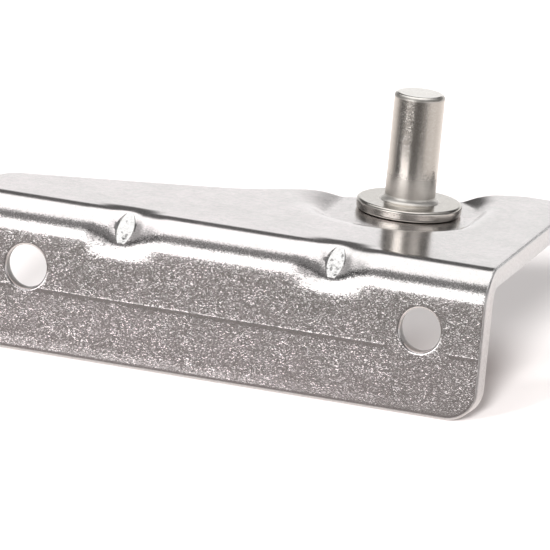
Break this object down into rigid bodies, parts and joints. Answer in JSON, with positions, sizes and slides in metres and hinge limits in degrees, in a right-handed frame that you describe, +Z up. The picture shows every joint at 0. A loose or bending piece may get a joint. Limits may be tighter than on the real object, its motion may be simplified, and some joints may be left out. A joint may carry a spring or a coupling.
{
  "type": "fridge door hinge",
  "caption": "Handed steel angle bracket with pressed gussets, punched screw holes and a collared hinge pin riveted into a dished flange.",
  "frame": {"origin": "on the mounting face, midway between the two screw holes", "axes": "+X along the bracket towards the end that carries the pin, +Y away from the mounting face and out along the flange, +Z up along the pin"},
  "size_m": [0.0842, 0.0543, 0.0416],
  "materials": {
    "sheet_steel": "bright mill-finish stainless sheet with a fine sparkling grain",
    "pin_steel": "turned and tumbled, smooth and bright, slightly warm"
  },
  "bodies": {
    "root": {"bracket": "sheet_steel", "hinge_pin": "pin_steel"}
  },
  "joints": []
}
